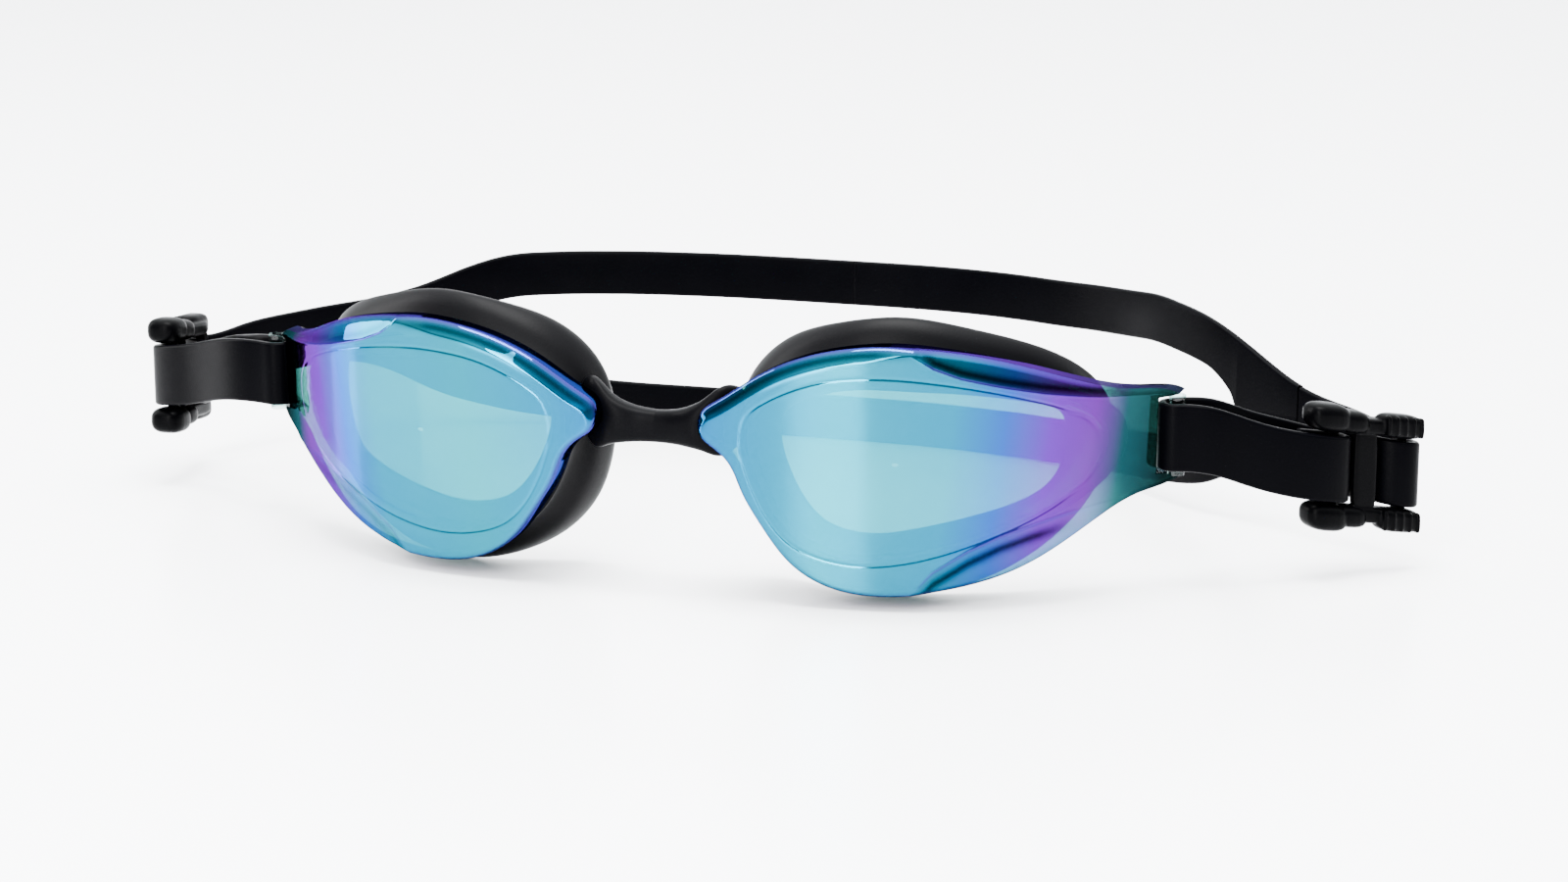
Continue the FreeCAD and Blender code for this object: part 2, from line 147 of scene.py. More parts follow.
def along(points, count=None, step=None, closed=False):
    """Points spaced evenly along the smooth curve through the given ones."""
    points = np.asarray(points, float)
    if closed:
        points = np.vstack([points, points[:1]])
    length = np.concatenate([[0], np.cumsum(np.linalg.norm(np.diff(points[:, :3], axis=0), axis=1))])
    count = count or int(length[-1] / step) + 1
    dense = cubic(length, points, np.linspace(0, length[-1], 4000), closed)
    real = np.concatenate([[0], np.cumsum(np.linalg.norm(np.diff(dense[:, :3], axis=0), axis=1))])
    targets = np.linspace(0, real[-1], count, endpoint=not closed)
    return np.stack([np.interp(targets, real, dense[:, k]) for k in range(dense.shape[1])], 1)


PLAN_X = np.linspace(4, 90, 2000)
PLAN_CURVE = along(PLAN, count=2000)
PLAN_Y = np.interp(PLAN_X, PLAN_CURVE[:, 0], PLAN_CURVE[:, 1])
OUTLINE_DENSE = along(OUTLINE, count=1500, closed=True)


def face_y(x, z, depth=0.0):
    """Y of the lens front surface at (x, z), moved back by depth."""
    return np.interp(x, PLAN_X, PLAN_Y) + depth + LEAN * (LEAN_ZERO_Z - z)


def polar(points, angles):
    """Radius of a closed outline about the eye centre at the given angles."""
    dense = along(points, count=4000, closed=True)
    turn = np.arctan2(dense[:, 1] - EYE_Z, dense[:, 0] - EYE_X) % (2 * math.pi)
    radius = np.hypot(dense[:, 0] - EYE_X, dense[:, 1] - EYE_Z)
    order = np.argsort(turn)
    return np.interp(angles % (2 * math.pi), turn[order], radius[order], period=2 * math.pi)


def cup_depth(x, depth):
    """Depth of a cup ring behind the lens face; the cup is deeper towards the nose."""
    deep = 2.0 - 0.85 * smooth_step(x, 14.0, 38.0)
    return RIM_DEPTH + (depth - RIM_DEPTH) * deep


def smooth_step(value, low, high):
    t = np.clip((value - low) / (high - low), 0, 1)
    return t * t * (3 - 2 * t)


# ---- meshes -------------------------------------------------------------------------
def make_object(name, verts, faces, material, sign=1, smooth=True):
    """Mesh object from drawing-frame points; sign -1 mirrors it to the left-hand side."""
    verts = np.array(verts, float)
    verts[:, 0] *= sign
    if sign < 0:
        faces = [tuple(reversed(f)) for f in faces]
    verts = (verts + SHIFT) * MM
    mesh = bpy.data.meshes.new(name)
    mesh.from_pydata(verts.tolist(), [], faces)
    mesh.update()
    obj = bpy.data.objects.new(name, mesh)
    bpy.context.scene.collection.objects.link(obj)
    for m in material if isinstance(material, list) else [material]:
        mesh.materials.append(m)
    mesh.polygons.foreach_set("use_smooth", [smooth] * len(mesh.polygons))
    return obj


def grid_faces(rows, cols, close_rows=False, close_cols=False):
    """Four-sided faces over rows and columns of points, closed round where asked."""
    faces = []
    for i in range(rows if close_rows else rows - 1):
        for j in range(cols if close_cols else cols - 1):
            a = i * cols + j
            b = i * cols + (j + 1) % cols
            c = (i + 1) % rows * cols + (j + 1) % cols
            d = (i + 1) % rows * cols + j
            faces.append((a, b, c, d))
    return faces


def turn_outward(obj, merge=False):
    """Turn the faces outwards, after merging doubled points if asked."""
    bm = bmesh.new()
    bm.from_mesh(obj.data)
    if merge:
        bmesh.ops.remove_doubles(bm, verts=bm.verts, dist=1e-6)
    bmesh.ops.recalc_face_normals(bm, faces=bm.faces)
    bm.to_mesh(obj.data)
    bm.free()


# ---- materials ------------------------------------------------------------------------
def new_material(name):
    material = bpy.data.materials.new(name)
    material.use_nodes = True
    nodes = material.node_tree.nodes
    nodes.clear()
    out = nodes.new("ShaderNodeOutputMaterial")
    return material, nodes, material.node_tree.links, out


def satin_black(name, color, rough, level, grain, bump):
    """Moulded black rubber or plastic: uneven satin gloss, faint mottling and a fine grain."""
    material, nodes, links, out = new_material(name)
    shader = nodes.new("ShaderNodeBsdfPrincipled")
    shader.inputs["Specular IOR Level"].default_value = level
    where = nodes.new("ShaderNodeTexCoord")
    fine = nodes.new("ShaderNodeTexNoise")
    fine.inputs["Scale"].default_value = grain
    fine.inputs["Detail"].default_value = 3
    broad = nodes.new("ShaderNodeTexNoise")
    broad.inputs["Scale"].default_value = 140
    broad.inputs["Detail"].default_value = 5
    links.new(where.outputs["Object"], fine.inputs["Vector"])
    links.new(where.outputs["Object"], broad.inputs["Vector"])
    tone = nodes.new("ShaderNodeMix")
    tone.data_type = "RGBA"
    tone.inputs["A"].default_value = (*color, 1)
    tone.inputs["B"].default_value = (*[1.7 * c for c in color], 1)
    links.new(broad.outputs["Fac"], tone.inputs["Factor"])
    links.new(tone.outputs["Result"], shader.inputs["Base Color"])
    gloss = nodes.new("ShaderNodeMapRange")
    gloss.inputs["From Min"].default_value = 0.3
    gloss.inputs["From Max"].default_value = 0.7
    gloss.inputs["To Min"].default_value = rough - 0.03
    gloss.inputs["To Max"].default_value = rough + 0.03
    links.new(broad.outputs["Fac"], gloss.inputs["Value"])
    links.new(gloss.outputs["Result"], shader.inputs["Roughness"])
    relief = nodes.new("ShaderNodeBump")
    relief.inputs["Strength"].default_value = bump
    relief.inputs["Distance"].default_value = 0.00006
    links.new(fine.outputs["Fac"], relief.inputs["Height"])
    links.new(relief.outputs["Normal"], shader.inputs["Normal"])
    links.new(shader.outputs["BSDF"], out.inputs["Surface"])
    return material


def distance_out(nodes, links):
    """Distance from the middle of the goggles along X, and height, both in millimetres."""
    where = nodes.new("ShaderNodeTexCoord")
    split = nodes.new("ShaderNodeSeparateXYZ")
    links.new(where.outputs["Object"], split.inputs["Vector"])
    move = nodes.new("ShaderNodeMath")
    move.operation = "SUBTRACT"
    move.inputs[1].default_value = float(SHIFT[0]) * MM
    links.new(split.outputs["X"], move.inputs[0])
    size = nodes.new("ShaderNodeMath")
    size.operation = "ABSOLUTE"
    links.new(move.outputs["Value"], size.inputs[0])
    scale = nodes.new("ShaderNodeMath")
    scale.operation = "MULTIPLY"
    scale.inputs[1].default_value = 1 / MM
    links.new(size.outputs["Value"], scale.inputs[0])
    height = nodes.new("ShaderNodeMath")
    height.operation = "MULTIPLY"
    height.inputs[1].default_value = 1 / MM
    links.new(split.outputs["Z"], height.inputs[0])
    return scale.outputs["Value"], height.outputs["Value"]


def ramp(nodes, links, value, low, high, stops):
    """Colour ramp over value between low and high; stops are (place, colour)."""
    spread = nodes.new("ShaderNodeMapRange")
    spread.inputs["From Min"].default_value = low
    spread.inputs["From Max"].default_value = high
    links.new(value, spread.inputs["Value"])
    node = nodes.new("ShaderNodeValToRGB")
    elements = node.color_ramp.elements
    while len(elements) < len(stops):
        elements.new(0.5)
    for element, (place, color) in zip(elements, stops):
        element.position = (place - low) / (high - low)
        element.color = (*color, 1)
    links.new(spread.outputs["Result"], node.inputs["Fac"])
    return node.outputs["Color"]


def mirror_coating(name, stops, through, rough=0.02, with_painted_reflections=False):
    """Thin-film mirror on clear plastic: tinted reflection added to a little see-through; where asked, the
    tint carries painted reflections and a violet rim line.
    """
    material, nodes, links, out = new_material(name)
    x, z = distance_out(nodes, links)
    lean = nodes.new("ShaderNodeMath")
    lean.operation = "MULTIPLY_ADD"
    lean.inputs[1].default_value = -0.12
    links.new(z, lean.inputs[0])
    links.new(x, lean.inputs[2])
    color = ramp(nodes, links, lean.outputs["Value"], 0, 90, stops)
    if with_painted_reflections:
        # the "tone" attribute paints reflections into the tint: painted dark bevel, painted highlight
        # streak and painted dark leaf cores
        tone = nodes.new("ShaderNodeAttribute")
        tone.attribute_name = "tone"
        scale = nodes.new("ShaderNodeVectorMath")
        scale.operation = "SCALE"
        links.new(color, scale.inputs[0])
        links.new(tone.outputs["Fac"], scale.inputs["Scale"])
        rim = nodes.new("ShaderNodeAttribute")
        rim.attribute_name = "rim"
        line = nodes.new("ShaderNodeMix")
        line.data_type = "RGBA"
        line.inputs["B"].default_value = (0.022, 0.008, 0.11, 1)
        links.new(rim.outputs["Fac"], line.inputs["Factor"])
        links.new(scale.outputs["Vector"], line.inputs["A"])
        color = line.outputs["Result"]
    glance = nodes.new("ShaderNodeBsdfGlossy")
    glance.inputs["Roughness"].default_value = rough
    links.new(color, glance.inputs["Color"])
    clear = nodes.new("ShaderNodeBsdfTransparent")
    dim = [0.1 * c for c in through]
    links.new(ramp(nodes, links, x, 0, 90, [(0, through), (74, through), (79, dim)]), clear.inputs["Color"])
    both = nodes.new("ShaderNodeAddShader")
    links.new(glance.outputs["BSDF"], both.inputs[0])
    links.new(clear.outputs["BSDF"], both.inputs[1])
    links.new(both.outputs["Shader"], out.inputs["Surface"])
    return material


def clear_plastic(name, tint):
    """Uncoated polycarbonate: see-through with a Fresnel gloss."""
    material, nodes, links, out = new_material(name)
    fresnel = nodes.new("ShaderNodeFresnel")
    fresnel.inputs["IOR"].default_value = 1.58
    glance = nodes.new("ShaderNodeBsdfGlossy")
    glance.inputs["Roughness"].default_value = 0.12
    weaker = nodes.new("ShaderNodeMath")
    weaker.operation = "MULTIPLY"
    weaker.inputs[1].default_value = 0.4
    clear = nodes.new("ShaderNodeBsdfTransparent")
    clear.inputs["Color"].default_value = (*tint, 1)
    mix = nodes.new("ShaderNodeMixShader")
    links.new(fresnel.outputs["Fac"], weaker.inputs[0])
    links.new(weaker.outputs["Value"], mix.inputs["Fac"])
    links.new(clear.outputs["BSDF"], mix.inputs[1])
    links.new(glance.outputs["BSDF"], mix.inputs[2])
    links.new(mix.outputs["Shader"], out.inputs["Surface"])
    return material


COATING = mirror_coating("mirror coating", [
    (0, (0.0, 0.050, 0.15)), (14, (0.0, 0.075, 0.14)), (30, (0.0, 0.092, 0.130)),
    (50, (0.0, 0.078, 0.135)), (58, (0.006, 0.034, 0.16)), (65, (0.044, 0.006, 0.14)),
    (71, (0.044, 0.006, 0.10)), (75.5, (0.003, 0.018, 0.022)), (82, (0.001, 0.003, 0.003))],
    (0.030, 0.13, 0.115), 0.02, True)
EDGE = mirror_coating("coating on the edges", [
    (0, (0.002, 0.02, 0.10)), (30, (0.012, 0.008, 0.10)), (60, (0.03, 0.006, 0.09)),
    (75, (0.01, 0.006, 0.03)), (86, (0.002, 0.008, 0.008))], (0.02, 0.02, 0.02), 0.06)
CLEAR_RIM = clear_plastic("clear polycarbonate", (0.45, 0.60, 0.58))
SILICONE = satin_black("eye cup silicone", (0.0004, 0.0004, 0.0006), 0.42, 0.028, 2200, 0.25)
BRIDGE = satin_black("bridge silicone", (0.0003, 0.0003, 0.0005), 0.40, 0.018, 2200, 0.25)
STRAP = satin_black("strap silicone", (0.0002, 0.0002, 0.0004), 0.36, 0.010, 2600, 0.30)
NYLON = satin_black("buckle nylon", (0.0002, 0.0002, 0.0003), 0.33, 0.014, 3000, 0.35)


# ---- lens --------------------------------------------------------------------------------
def soft_ramp(value, width=0.15):
    """max(value, 0) with a small rounding at the corner."""
    return 0.5 * (value + np.sqrt(value * value + width * width))


def leaf(x, height, start):
    """Depth of a leaf facet from the height past its inner edge, with a fine raised bead."""
    inside = smooth_step(x, start, start + 1.2)
    return (0.5 * soft_ramp(height, 0.08) - 0.12 * np.exp(-(height / 0.22) ** 2)) * inside


def leaf_heights(x, z):
    """How far (x, z) lies above the upper leaf's inner edge, and below the lower leaf's."""
    upper = np.asarray(UPPER_LEAF)
    lower = np.asarray(LOWER_LEAF)
    rise = z - np.interp(x, upper[:, 0], upper[:, 1])
    drop = np.interp(x, lower[:, 0], lower[:, 1]) - z
    return rise, drop


def lens_front(x, z, edge):
    """Depth added to the smooth front surface: rounded edge, bevels, seam and leaf facets."""
    radius = 0.5
    near = np.clip(radius - edge, 0, radius)
    extra = radius - np.sqrt(radius ** 2 - near ** 2)
    upper_inner = (1 - smooth_step(x, 38, 50)) * smooth_step(z, 29, 34)
    width = 0.7 + 1.6 * upper_inner
    extra = extra + 0.7 * soft_ramp(width - edge)
    turn = np.arctan2(z - EYE_Z, x - EYE_X)
    seam = np.hypot(x - EYE_X, z - EYE_Z) - polar(OVAL, turn.ravel()).reshape(x.shape)
    extra = extra + 0.10 * np.exp(-((seam + 0.6) / 0.25) ** 2)
    rise, drop = leaf_heights(x, z)
    return extra + leaf(x, rise, 47.5) + 0.8 * leaf(x, drop, 46.0)


def painted_reflection_tone(x, z, edge, side):
    """How bright the coating looks, with painted reflections: a painted dark reflection along the top-inner
    bevel with a pale painted highlight streak, and painted dark reflections in the cores of the leaves.
    """
    upper_inner = (1 - smooth_step(x, 40, 50)) * smooth_step(z, 30, 34)
    # painted dark reflection: the coating tint is darkened in a band along the top-inner bevel
    tone = 1 - 0.8 * upper_inner * np.exp(-((edge - 1.2) / 0.75) ** 2)
    # painted highlight: a pale streak just inside the top-inner bevel, brightening the coating tint
    painted_highlight = smooth_step(x, 20, 25) * (1 - smooth_step(x, 30, 36)) * upper_inner
    tone = tone + 1.6 * painted_highlight * np.exp(-((edge - 2.5) / 0.35) ** 2)
    rise, drop = leaf_heights(x, z)
    inside = smooth_step(x, 47.5, 51.0) * (1 - smooth_step(x, 76, 82))
    # painted dark reflections: the coating tint is darkened in the core of the upper and lower leaf facets
    tone = tone - side["leaf_painted_dark_reflection"] * inside * np.exp(-((rise - 1.1) / 0.8) ** 2)
    inside = smooth_step(x, 46.5, 50.0) * (1 - smooth_step(x, 66, 74))
    tone = tone - side["leaf_painted_dark_reflection"] * inside * np.exp(-((drop - 2.3) / 1.1) ** 2)
    return np.clip(tone, 0.03, 3.0)


def rim_line(x, z, edge):
    """Violet line along the outline and along the inner edge of each leaf."""
    rise, drop = leaf_heights(x, z)
    line = np.exp(-(edge / 0.5) ** 2)
    for gap, start in ((rise, 48.5), (drop, 47.5)):
        line = np.maximum(line, smooth_step(x, start, start + 2) * np.exp(-((gap - 0.1) / 0.25) ** 2))
    return 0.85 * line * (1 - smooth_step(x, 70, 77))


def make_lens(side):
    """Lens shell: mirror-coated front, coated edge, and a clear back with a pocket for the eye."""
    turns, rings = 480, 200
    angles = np.arange(turns) * 2 * math.pi / turns
    outer = polar(OUTLINE, angles)
    share = 1 - (1 - np.linspace(0, 1, rings)) ** 1.3
    x = EYE_X + np.outer(share, outer * np.cos(angles))
    z = EYE_Z + np.outer(share, outer * np.sin(angles))
    slant = outline_distance(x, z)
    y = face_y(x, z) + np.minimum(lens_front(x, z, slant), RIM_DEPTH - 0.8)
    front = np.stack([x, y, z], -1).reshape(-1, 3)
    verts = [front]
    faces = grid_faces(rings, turns, close_cols=True)
    count = len(front)
    marks = [0] * len(faces)
    pocket = polar(OVAL, angles) - 1.0
    loops = [(outer, RIM_DEPTH - 0.5, 1), (outer - 0.4, RIM_DEPTH, 2), (pocket, RIM_DEPTH, 2),
             (pocket - 0.05, LENS_THICK + 0.4, 2), (pocket - 0.5, LENS_THICK, 2),
             (pocket * 0.5, LENS_THICK, 2), (pocket * 0.02, LENS_THICK, 2)]
    previous = count - turns
    for radius, depth, mark in loops:
        lx = EYE_X + radius * np.cos(angles)
        lz = EYE_Z + radius * np.sin(angles)
        verts.append(np.stack([lx, face_y(lx, lz, depth), lz], -1))
        for j in range(turns):
            k = (j + 1) % turns
            faces.append((previous + j, previous + k, count + k, count + j))
            marks.append(mark)
        previous = count
        count += turns
    name = side["name"] + "_lens_shell"
    obj = make_object(name, np.vstack(verts), faces, [COATING, EDGE, CLEAR_RIM], side["sign"])
    obj.data.polygons.foreach_set("material_index", marks)
    # the "tone" attribute holds painted reflections on the front: painted dark bevel, painted highlight
    # streak and painted dark leaf cores
    tone = np.ones(len(obj.data.vertices), dtype=np.float32)
    tone[:len(front)] = painted_reflection_tone(x, z, slant, side).ravel()
    obj.data.attributes.new("tone", "FLOAT", "POINT").data.foreach_set("value", tone)
    rim = np.zeros(len(tone), dtype=np.float32)
    rim[:len(front)] = rim_line(x, z, slant).ravel()
    obj.data.attributes.new("rim", "FLOAT", "POINT").data.foreach_set("value", rim)
    return obj


def outline_distance(x, z):
    """Distance of each point from the lens outline."""
    start = OUTLINE_DENSE
    step = np.roll(start, -1, axis=0) - start
    flat = np.stack([x.ravel(), z.ravel()], 1)
    best = np.empty(len(flat))
    for i in range(0, len(flat), 4000):
        part = flat[i:i + 4000]
        near = ((part[:, None, :] - start[None, :, :]) ** 2).sum(-1).argmin(1)
        gaps = []
        for k in (near, near - 1):
            t = np.clip(((part - start[k]) * step[k]).sum(-1) / (step[k] ** 2).sum(-1), 0, 1)
            gaps.append(np.hypot(*(part - start[k] - t[:, None] * step[k]).T))
        best[i:i + 4000] = np.minimum(*gaps)
    return best.reshape(x.shape)


def cut_slot(lens, side):
    """Open the strap slot at the temple end and add the post inside it."""
    verts = []
    far, half = 40, 22
    corner = [(SLOT_WALL, -half), (far, -half), (far, half), (SLOT_WALL, half)]
    ring = []
    for px, py in corner:
        ring.append((POST_X + px * math.cos(SLOT_TURN) - py * math.sin(SLOT_TURN),
                     POST_Y + px * math.sin(SLOT_TURN) + py * math.cos(SLOT_TURN)))
    for z in (SLOT_Z0, SLOT_Z1):
        verts += [(px, py, z) for px, py in ring]
    faces = [(0, 1, 2, 3), (7, 6, 5, 4), (0, 4, 5, 1), (1, 5, 6, 2), (2, 6, 7, 3), (3, 7, 4, 0)]
    cutter = make_object("cutter", verts, faces, CLEAR_RIM, side["sign"], False)
    turn_outward(cutter, True)
    modifier = lens.modifiers.new("slot", "BOOLEAN")
    modifier.operation = "DIFFERENCE"
    modifier.solver = "EXACT"
    modifier.object = cutter
    graph = bpy.context.evaluated_depsgraph_get()
    cut = bpy.data.meshes.new_from_object(lens.evaluated_get(graph))
    lens.modifiers.clear()
    lens.data = cut
    bpy.data.objects.remove(cutter)
    bm = bmesh.new()
    bm.from_mesh(cut)
    for edge in bm.edges:
        if len(edge.link_faces) == 2 and edge.calc_face_angle(0) > math.radians(38):
            edge.smooth = False
    bm.to_mesh(cut)
    bm.free()
    sides = 32
    pverts = []
    for z in (SLOT_Z0 - 0.4, SLOT_Z1 + 0.4):
        for k in range(sides):
            a = 2 * math.pi * k / sides
            pverts.append((POST_X + POST_R * math.cos(a), POST_Y + POST_R * math.sin(a), z))
    pfaces = [(k, (k + 1) % sides, sides + (k + 1) % sides, sides + k) for k in range(sides)]
    post = make_object(side["name"] + "_post", pverts, pfaces, CLEAR_RIM, side["sign"])
    return post


# ---- eye cup ----------------------------------------------------------------------------
def make_cup(side):
    """Eye cup: one closed ring of silicone from the back of the lens out to the sealing lip."""
    turns = 200
    angles = np.arange(turns) * 2 * math.pi / turns
    oval = polar(OVAL, angles)
    lip = polar(LIP, angles)
    neck = 0.55 * oval + 0.45 * lip
    profile = [(oval + 1.5, RIM_DEPTH + 0.05), (oval + 1.9, RIM_DEPTH + 0.5), (neck + 0.5, RIM_DEPTH + 1.8),
               (0.5 * (neck + lip) + 0.4, RIM_DEPTH + 2.9), (lip - 0.3, RIM_DEPTH + 4.3),
               (lip, RIM_DEPTH + 5.4), (lip - 0.5, RIM_DEPTH + 6.3),
               (lip - 2.0, RIM_DEPTH + 6.8), (lip - 4.6, RIM_DEPTH + 6.3),
               (lip - 6.9, RIM_DEPTH + 5.2), (oval - 4.5, RIM_DEPTH + 2.8), (oval - 2.4, RIM_DEPTH + 1.0),
               (oval - 0.9, RIM_DEPTH + 0.1)]
    rows = len(profile)
    radii = np.stack([p[0] for p in profile])
    depth = np.array([p[1] for p in profile])
    knots = np.arange(rows + 1, dtype=float)
    at = np.linspace(0, rows, 72, endpoint=False)
    radii = cubic(knots, np.vstack([radii, radii[:1]]), at, True)
    depth = cubic(knots, np.concatenate([depth, depth[:1]]), at, True)
    x = EYE_X + radii * np.cos(angles)
    z = EYE_Z + radii * np.sin(angles)
    y = face_y(x, z, cup_depth(x, depth[:, None]))
    verts = np.stack([x, y, z], -1).reshape(-1, 3)
    faces = grid_faces(len(at), turns, True, True)
    return make_object(side["name"] + "_cup", verts, faces, SILICONE, side["sign"])


# ---- nose bridge ----------------------------------------------------------------------------
BRIDGE_STATIONS = [(0.0, 7.2, 26.3, 32.0, 4.4), (3.5, 7.0, 26.2, 32.4, 4.6), (6.5, 6.6, 25.9, 33.4, 5.0),
                   (8.9, 6.8, 25.3, 34.8, 4.8), (10.6, 7.4, 24.6, 36.2, 4.4), (12.6, 8.6, 24.8, 37.0, 4.4),
                   (14.4, 10.0, 26.6, 36.4, 3.4)]


def make_bridge_half(side):
    """Half of the nose bridge, from the middle of the goggles out behind the lens corner."""
    stations = cubic([s[0] for s in BRIDGE_STATIONS], BRIDGE_STATIONS, np.linspace(0, 14.4, 60))
    around = 64
    t = np.arange(around) * 2 * math.pi / around
    cy = np.sign(np.cos(t)) * np.abs(np.cos(t)) ** 0.72
    sz = np.sign(np.sin(t)) * np.abs(np.sin(t)) ** 0.72
    rows = []
    for x, y, low, high, deep in stations:
        height = (low + high) / 2 + (high - low) / 2 * sz
        rows.append(np.stack([np.full(around, x), y + deep / 2 * cy, height], 1))
    end = rows[-1].mean(0)
    for shrink, out in ((0.85, 0.5), (0.55, 0.85), (0.02, 1.0)):
        row = end + (rows[len(stations) - 1] - end) * shrink
        row[:, 0] += out
        rows.append(row)
    faces = grid_faces(len(rows), around, close_cols=True)
    obj = make_object(side["name"] + "_bridge", np.vstack(rows), faces, BRIDGE, side["sign"])
    turn_outward(obj)
    return obj


# ---- strap -------------------------------------------------------------------------------------
def local(side, s, m):
    """Point s along the buckle axis from the front bar and m outwards, with its height."""
    a = math.radians(side["axis"])
    x = side["front"][0] + math.cos(a) * s + math.sin(a) * m
    y = side["front"][1] + math.sin(a) * s - math.cos(a) * m
    z = side["z_front"] + (side["z_rear"] - side["z_front"]) * s / BAR_SPACING
    return (x, y, z)


def side_path(side):
    """Centre line of the strap from its tail to the split: (x, y, z, half width)."""
    half = SIDE_W / 2
    wrap = POST_R + CLEAR + STRAP_T / 2
    path = [local(side, s, m) for s, m in side["tail"]]
    path += [local(side, s, m) for s, m in [(0.0, -2.6), (1.8, -1.9), (2.6, 0.0), (1.8, 1.9), (0.0, 2.6)]]
    path += list(reversed(side["run_a"]))
    middle = (SLOT_Z0 + SLOT_Z1) / 2
    for degrees in (-60.0, -90.0, -120.0, -150.0, 180.0, 150.0, 120.0):
        a = math.radians(degrees)
        path.append((POST_X + wrap * math.cos(a), POST_Y + wrap * math.sin(a), middle))
    path += side["run_b"]
    passage = [(3.0, -5.0), (7.2, -4.0), (10.4, -1.2), (12.3, 1.5), (14.8, 2.7)]
    path += [local(side, s, m) for s, m in passage + side["wrap"]]
    path += side["run_c"]
    return [(*p, half) for p in path] + list(side["yoke"])


def section(low, high, thick, soft_low, soft_high):
    """Strap cross-section as (across, up): a flat bar with rounded edges."""
    points = []
    for cx, cz, start, radius in ((1, 1, 0, soft_high), (-1, 1, 90, soft_high),
                                  (-1, -1, 180, soft_low), (1, -1, 270, soft_low)):
        edge = high if cz > 0 else low
        for k in range(6):
            a = math.radians(start + 90 * k / 5)
            across = cx * (thick / 2 - radius) + radius * math.cos(a)
            points.append((across, edge - cz * radius + radius * math.sin(a)))
    return points


def ribbon(name, stations, material, sign, caps=(True, True)):
    """Strap through stations (x, y, low z, high z, soft low, soft high)."""
    stations = np.asarray(stations, float)
    direction = np.gradient(stations[:, :2], axis=0)
    direction /= np.linalg.norm(direction, axis=1)[:, None]
    across = np.stack([direction[:, 1], -direction[:, 0]], 1)
    rows = []
    for (x, y, low, high, a, b), n in zip(stations, across):
        ring = section(low, high, STRAP_T, a, b)
        rows.append([(x + n[0] * u, y + n[1] * u, v) for u, v in ring])
    cols = len(rows[0])
    verts = np.array(rows).reshape(-1, 3)
    faces = grid_faces(len(rows), cols, close_cols=True)
    if caps[0]:
        faces.append(tuple(range(cols)))
    if caps[1]:
        faces.append(tuple(range((len(rows) - 1) * cols, len(rows) * cols)))
    obj = make_object(name, verts, faces, material, sign)
    turn_outward(obj)
    return obj


def eased(knots, values, at):
    """Straight runs between knots, averaged over 9 mm so the corners are smooth."""
    return sum(np.interp(at + k, knots, values) for k in np.linspace(-4.5, 4.5, 19)) / 19


def make_straps(side):
    """Side strap up to the yoke, then an upper and a lower band that part at the split."""
    name = side["name"]
    path = np.asarray(side_path(side))
    dense = along(path, step=0.35)
    band = [(bx, by, 0) for bx, by in side["band"]] + [(0.0, BACK_Y, 0)]
    length = np.concatenate([[0], np.cumsum(np.linalg.norm(np.diff(dense[:, :3], axis=0), axis=1))])
    cut = length[-1] - YOKE_LENGTH
    # one smooth plan through yoke and band keeps the surfaces continuous
    run = [(x, y, z) for x, y, z, half in dense[length > cut - 12][::6]]
    plan = along([(p[0], p[1]) for p in run] + [(b[0], b[1]) for b in band], step=0.4)
    split = np.array(side["yoke"][-1][:2])
    at = np.concatenate([[0], np.cumsum(np.linalg.norm(np.diff(plan, axis=0), axis=1))])
    where = at[np.argmin(np.linalg.norm(plan - split, axis=1))]
    z_mid = side["yoke"][-1][2]
    half = side["yoke"][-1][3]
    band_at = [at[np.argmin(np.linalg.norm(plan - np.array(b[:2]), axis=1))] for b in band]
    begin = at[np.argmin(np.linalg.norm(plan - dense[np.searchsorted(length, cut)][:2], axis=1))]
    knot_s, upper_z, lower_z = [], [], []
    for x, y, z, h in dense[(length > cut - 3)][::8]:
        s = at[np.argmin(np.linalg.norm(plan - np.array([x, y]), axis=1))]
        if s < where - 4.0:
            knot_s.append(s)
            upper_z.append(z + h)
            lower_z.append(z - h)
    knot_s += [where] + band_at
    upper_z += [z_mid + half] + side["top"] + [side["top"][-1]]
    lower_z += [z_mid - half] + side["low"] + [side["low"][-1]]
    order = np.argsort(knot_s)
    knot_s = np.array(knot_s)[order]
    upper_z = np.array(upper_z)[order]
    lower_z = np.array(lower_z)[order]
    keep = np.concatenate([[True], np.diff(knot_s) > 0.3])
    knot_s, upper_z, lower_z = knot_s[keep], upper_z[keep], lower_z[keep]
    use = at >= begin
    s = at[use]
    xy = plan[use]
    top = eased(knot_s, upper_z, s)
    low = eased(knot_s, lower_z, s)
    centre = np.interp(s, [s[0], where], [0.5 * (top[0] + low[0]), z_mid])
    crotch = where - SLIT_LEAD
    rise = np.clip((s - crotch) / SLIT_REACH, 0, 1)
    bend = np.sqrt(1 - (1 - rise) ** 2)
    inner_up = centre + (top - BAND_W - centre) * bend
    inner_low = centre + (low + BAND_W - centre) * bend
    soft = 0.02 + 0.58 * smooth_step(s, crotch - 0.5, crotch + 1.5)
    full = np.full(len(s), 0.6)
    side_part = dense[length <= cut + 0.2]
    first = [(x, y, z - h, z + h, 0.6, 0.6) for x, y, z, h in side_part]
    ribbon(name + "_side_strap_skin", first, STRAP, side["sign"], (True, False))
    ribbon(name + "_upper_band_skin", np.stack([xy[:, 0], xy[:, 1], inner_up, top, soft, full], 1), STRAP,
           side["sign"], (False, True))
    ribbon(name + "_lower_band_skin", np.stack([xy[:, 0], xy[:, 1], low, inner_low, full, soft], 1), STRAP,
           side["sign"], (False, True))


# ---- buckle ---------------------------------------------------------------------------------------
def powered(value, power):
    """Signed power, which squares off a sine or cosine."""
    return math.copysign(abs(value) ** power, value)


